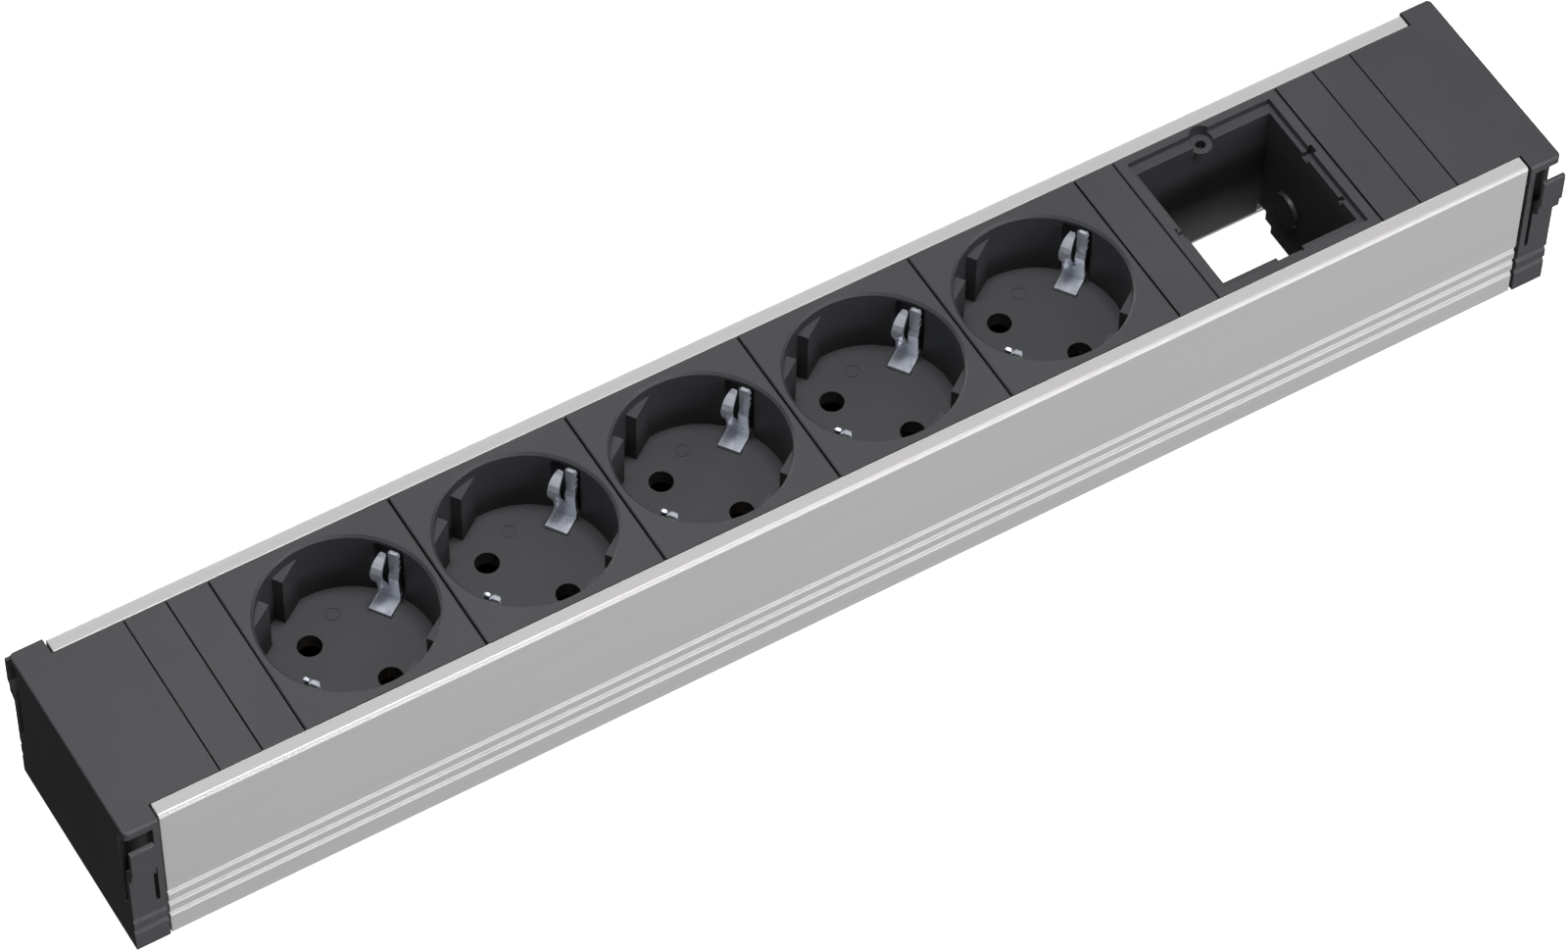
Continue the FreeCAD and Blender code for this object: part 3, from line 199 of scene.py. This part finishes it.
# ------------------------------------------------------------- carried-over nodes
def finish_node(obj, width, segments=2, angle=32.0):
    """Rounds the hard edges that every moulded, drawn or punched piece has."""
    weld = obj.modifiers.new("join", "WELD")
    weld.merge_threshold = 0.000002
    flat = obj.modifiers.new("flat", "DECIMATE")
    flat.decimate_type = "DISSOLVE"
    flat.angle_limit = math.radians(0.4)
    edge = obj.modifiers.new("edge", "BEVEL")
    edge.width = width
    edge.segments = segments
    edge.limit_method = "ANGLE"
    edge.angle_limit = math.radians(angle)
    edge.use_clamp_overlap = True
    edge.miter_outer = "MITER_ARC"
    shade = obj.modifiers.new("shade", "WEIGHTED_NORMAL")
    shade.mode = "FACE_AREA"
    shade.weight = 90
    shade.keep_sharp = True


width_of = {
    "anodised_rail": 0.00022, "cap_plastic": 0.00020, "face_plastic": 0.00012,
    "socket_plastic": 0.00012, "frame_plastic": 0.00015, "base_plastic": 0.0002,
    "terminal_plastic": 0.0002, "nickel_clip": 0.00008, "busbar_brass": 0.00008,
    "clamp_brass": 0.00015, "zinc_screw": 0.0001,
}
for name, obj in nodes.items():
    slot = slot_of[name]
    obj.data.materials.clear()
    obj.data.materials.append(materials[slot])
    finish_node(obj, width_of[slot])


# ------------------------------------------------------------------- floor and light
def floor_material():
    m = Maker("pale_floor")
    m.set(Roughness=0.9, Specular_IOR_Level=0.1, Emission_Strength=0.95)
    m.shader.inputs["Emission Color"].default_value = (1.0, 1.0, 1.0, 1.0)
    mottle = m.noise(9.0, 3.0, 0.5)
    m.colour(m.blend(m.span(mottle, 0.0, 1.0), (0.80, 0.80, 0.80), (0.83, 0.83, 0.83)))
    # seen from below the floor is clear, so the underside can be looked at
    clear = m.tree.nodes.new("ShaderNodeBsdfTransparent")
    mix = m.tree.nodes.new("ShaderNodeMixShader")
    side = m.tree.nodes.new("ShaderNodeNewGeometry")
    m.link(side.outputs["Backfacing"], mix.inputs[0])
    m.link(m.shader.outputs[0], mix.inputs[1])
    m.link(clear.outputs[0], mix.inputs[2])
    m.link(mix.outputs[0], m.out.inputs[0])
    return m.mat


def make_floor(size):
    mesh = bpy.data.meshes.new("floor")
    made = bmesh.new()
    bmesh.ops.create_grid(made, x_segments=8, y_segments=8, size=size)
    made.to_mesh(mesh)
    made.free()
    obj = bpy.data.objects.new("floor", mesh)
    obj.location = (0.0, 0.0, -0.0004)
    mesh.materials.append(floor_material())
    scene.collection.objects.link(obj)
    # the floor is a backdrop: it neither lights nor shades the object
    obj.visible_diffuse = False
    obj.visible_glossy = False
    obj.visible_transmission = False
    obj.visible_shadow = False
    return obj


make_floor(6.0)

world = bpy.data.worlds.new("studio")
world.use_nodes = True
scene.world = world
wt = world.node_tree
wt.nodes.clear()
w_out = wt.nodes.new("ShaderNodeOutputWorld")
w_bg = wt.nodes.new("ShaderNodeBackground")
w_dir = wt.nodes.new("ShaderNodeTexCoord")
w_sep = wt.nodes.new("ShaderNodeSeparateXYZ")
w_map = wt.nodes.new("ShaderNodeMapRange")
w_ramp = wt.nodes.new("ShaderNodeValToRGB")
w_map.inputs["From Min"].default_value = -1.0
wt.links.new(w_dir.outputs["Generated"], w_sep.inputs[0])
wt.links.new(w_sep.outputs["Z"], w_map.inputs["Value"])
wt.links.new(w_map.outputs[0], w_ramp.inputs[0])
ramp = w_ramp.color_ramp
ramp.interpolation = "EASE"
ramp.elements[0].position, ramp.elements[1].position = 0.0, 1.0
ramp.elements[0].color = (0.02, 0.02, 0.02, 1.0)
ramp.elements[1].color = (0.27, 0.27, 0.27, 1.0)
for at, grey in ((0.45, 0.025), (0.60, 0.07)):
    stop = ramp.elements.new(at)
    stop.color = (grey, grey, grey, 1.0)
wt.links.new(w_ramp.outputs[0], w_bg.inputs["Color"])
w_bg.inputs["Strength"].default_value = 1.0
wt.links.new(w_bg.outputs[0], w_out.inputs[0])


def soft_box(name, place, target, size, radiance, shade=(1.0, 1.0, 1.0)):
    light = bpy.data.lights.new(name, "AREA")
    light.shape = "RECTANGLE"
    light.size, light.size_y = size
    light.energy = radiance * math.pi * size[0] * size[1]
    light.color = shade
    obj = bpy.data.objects.new(name, light)
    obj.location = place
    obj.rotation_mode = "QUATERNION"
    obj.rotation_quaternion = (Vector(target) - Vector(place)).to_track_quat("-Z", "Y")
    scene.collection.objects.link(obj)
    return obj


soft_box("down", (0.0, 0.0, 2.6), (0.0, 0.0, 0.0), (1.0, 0.5), 37.5)
soft_box("key", (0.40, -0.58, 1.10), (0.0, 0.0, 0.0), (0.6, 0.6), 2.2)
soft_box("edge", (0.45, -1.33, 0.53), (0.0, 0.0, 0.03), (2.0, 0.18), 13.0)
soft_box("front", (0.1, -1.40, -0.50), (0.0, 0.0, 0.02), (2.2, 0.5), 5.6)
soft_box("rear", (0.0, 1.5, 0.20), (0.0, 0.0, 0.02), (2.0, 0.5), 5.5)
soft_box("left", (-1.4, -0.1, 0.5), (0.0, 0.0, 0.02), (0.8, 0.8), 1.2)
soft_box("right", (1.4, -0.5, 0.4), (0.0, 0.0, 0.02), (0.8, 0.8), 0.8)

below = bpy.data.lights.new("below", "SUN")
below.energy = 0.5
below.angle = math.radians(12.0)
below_obj = bpy.data.objects.new("below", below)
below_obj.rotation_euler = (math.pi, 0.0, 0.0)
scene.collection.objects.link(below_obj)

# ---------------------------------------------------------------------------- camera
data = bpy.data.cameras.new("camera")
data.sensor_fit = "HORIZONTAL"
data.sensor_width = 36.0
data.lens = 148.883
data.clip_start = 0.05
data.clip_end = 30.0
camera = bpy.data.objects.new("camera", data)
right = (0.8598283, -0.5104005, 0.0136604)
down = (-0.4049093, -0.6979264, -0.5907175)
ahead = (0.3110365, 0.5023844, -0.8067628)
axes = Matrix((right, [-v for v in down], [-v for v in ahead])).transposed()
camera.matrix_world = Matrix.Translation((-0.439106, -0.700179, 1.143408)) @ axes.to_4x4()
scene.collection.objects.link(camera)
scene.camera = camera
scene.view_settings.view_transform = "Standard"
scene.view_settings.look = "None"
